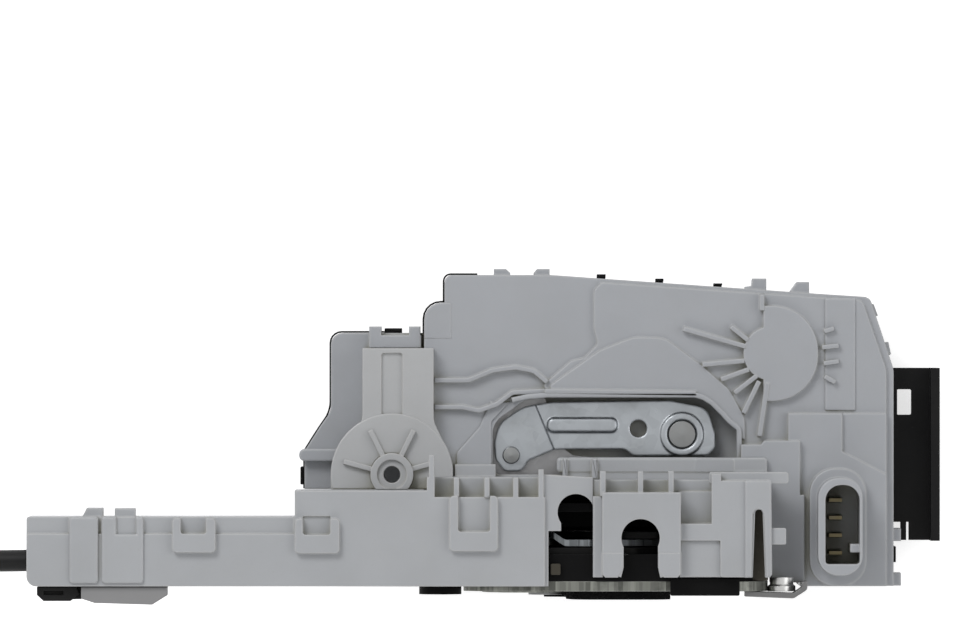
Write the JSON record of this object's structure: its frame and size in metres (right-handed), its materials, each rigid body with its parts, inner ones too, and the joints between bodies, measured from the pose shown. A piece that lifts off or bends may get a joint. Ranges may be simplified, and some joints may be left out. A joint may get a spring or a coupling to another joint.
{
  "type": "door latch actuator",
  "caption": "Vehicle door latch with catch, pawl, release levers and a worm driven lock actuator in a moulded case, with a cable arm and connector socket.",
  "frame": {"origin": "on the latch face plate's outer face, midway between its two upper screws and on the striker mouth's centre line", "axes": "+X along the part's length towards the connector, +Y from the face plate into the part towards the actuator's upper end, +Z away from the surface the part lies on"},
  "size_m": [0.3392, 0.0771, 0.056],
  "materials": {
    "cover_grey": "fine grained moulding",
    "case_black": "fine grained moulding",
    "shield_grey": "satin moulding",
    "housing_white": "satin moulding",
    "clip_black": "satin moulding",
    "clip_white": "satin moulding",
    "zinc_steel": "zinc plated sheet",
    "pin_steel": "headed and riveted",
    "plate_steel": "zinc plated sheet",
    "spring_steel": "oiled wire",
    "catch_steel": "hardened",
    "motor_steel": "drawn can",
    "motor_cap": "moulded",
    "worm_brass": "cut thread",
    "gear_nylon": "moulded",
    "sector_nylon": "moulded",
    "switch_black": "moulded",
    "plunger_red": "moulded",
    "lead_frame": "moulded round stamped leads",
    "contact_tin": "tinned",
    "bracket_black": "satin moulding",
    "foam": "closed cell foam",
    "buffer_rubber": "rubber",
    "foot_steel": "dark plated strip",
    "screw_zinc": "zinc plated",
    "cable_black": "extruded sheath"
  },
  "bodies": {
    "module": {"front_cover": "cover_grey", "rear_case": "case_black", "shield_plate": "shield_grey", "lower_housing": "housing_white", "duct_clip_black": "clip_black", "duct_clip_white": "clip_white", "cable_sleeve": "clip_black", "lever_pivot": "pin_steel", "lever_spring": "spring_steel", "lever_backing_plate": "plate_steel", "motor_can": "motor_steel", "motor_cap": "motor_cap", "worm_gear_pin": "pin_steel", "lock_switch": "switch_black", "lead_frame": "lead_frame", "contact_blades": "contact_tin", "side_bracket": "bracket_black", "face_plate": "plate_steel", "latch_case": "case_black", "latch_back_plate": "plate_steel", "catch_pin": "pin_steel", "pawl_pin": "pin_steel", "catch_spring": "spring_steel", "pawl_spring": "spring_steel", "latch_cover": "case_black", "striker_buffer": "buffer_rubber", "foam_seal": "foam", "foot_strip": "foot_steel", "foot_bush": "clip_black", "case_screws": "screw_zinc", "cable_conduit": "cable_black", "release_cable": "cable_black", "cable_coil": "cable_black", "cable_end_fitting": "pin_steel"},
    "outer_lever": {"outer_release_lever": "zinc_steel", "link_pin": "pin_steel"},
    "catch": {"catch": "catch_steel"},
    "pawl": {"pawl": "catch_steel"},
    "pawl_lever": {"pawl_lever": "plate_steel"},
    "inner_lever": {"inner_release_lever": "zinc_steel"},
    "gear": {"worm_gear": "gear_nylon"},
    "worm": {"motor_worm": "worm_brass"},
    "sector": {"lock_sector": "sector_nylon"},
    "plunger": {"lock_switch_plunger": "plunger_red"}
  },
  "joints": [
    {"name": "catch_turn", "type": "hinge", "parent": "module", "child": "catch", "pos_m": [-0.014, 0.005, -0.023], "axis": [0, -1, 0], "range_deg": [0, 60], "stiffness_Nm_per_rad": 0.12, "springref_deg": -34.38},
    {"name": "pawl_turn", "type": "hinge", "parent": "module", "child": "pawl", "pos_m": [0.018, 0.005, -0.017], "axis": [0, 1, 0], "range_deg": [-9.5, 5]},
    {"name": "pawl_lever_turn", "type": "hinge", "parent": "module", "child": "pawl_lever", "pos_m": [0.018, 0.011, -0.017], "axis": [0, 1, 0], "range_deg": [-9.5, 5]},
    {"name": "inner_lever_turn", "type": "hinge", "parent": "module", "child": "inner_lever", "pos_m": [-0.014, 0.0125, -0.023], "axis": [0, -1, 0], "range_deg": [0, 8], "stiffness_Nm_per_rad": 0.08, "springref_deg": -28.65},
    {"name": "outer_lever_turn", "type": "hinge", "parent": "module", "child": "outer_lever", "pos_m": [0.0173, 0.0359, -0.0158], "axis": [0, 0, -1], "range_deg": [0, 12], "stiffness_Nm_per_rad": 0.08, "springref_deg": -28.65},
    {"name": "gear_turn", "type": "hinge", "parent": "module", "child": "gear", "pos_m": [0.0376, 0.051, -0.027], "axis": [0, 0, 1], "range_deg": [0, 85.2]},
    {"name": "sector_turn", "type": "hinge", "parent": "module", "child": "sector", "pos_m": [0.0173, 0.0359, -0.0227], "axis": [0, 0, 1], "range_deg": [-16, 0]},
    {"name": "worm_turn", "type": "hinge", "parent": "module", "child": "worm", "pos_m": [0.0376, 0.0606, -0.027], "axis": [1, 0, 0], "range_deg": [0, 1534]},
    {"name": "plunger_slide", "type": "slide", "parent": "module", "child": "plunger", "axis": [-1, 0, 0], "range_m": [0, 0.001], "stiffness_N_per_m": 120, "springref_m": -0.004}
  ],
  "couplings": [
    {"joint": "pawl_lever_turn", "follows": "pawl_turn", "ratio": 1},
    {"joint": "sector_turn", "follows": "gear_turn", "ratio": -0.18779},
    {"joint": "worm_turn", "follows": "gear_turn", "ratio": 18}
  ]
}
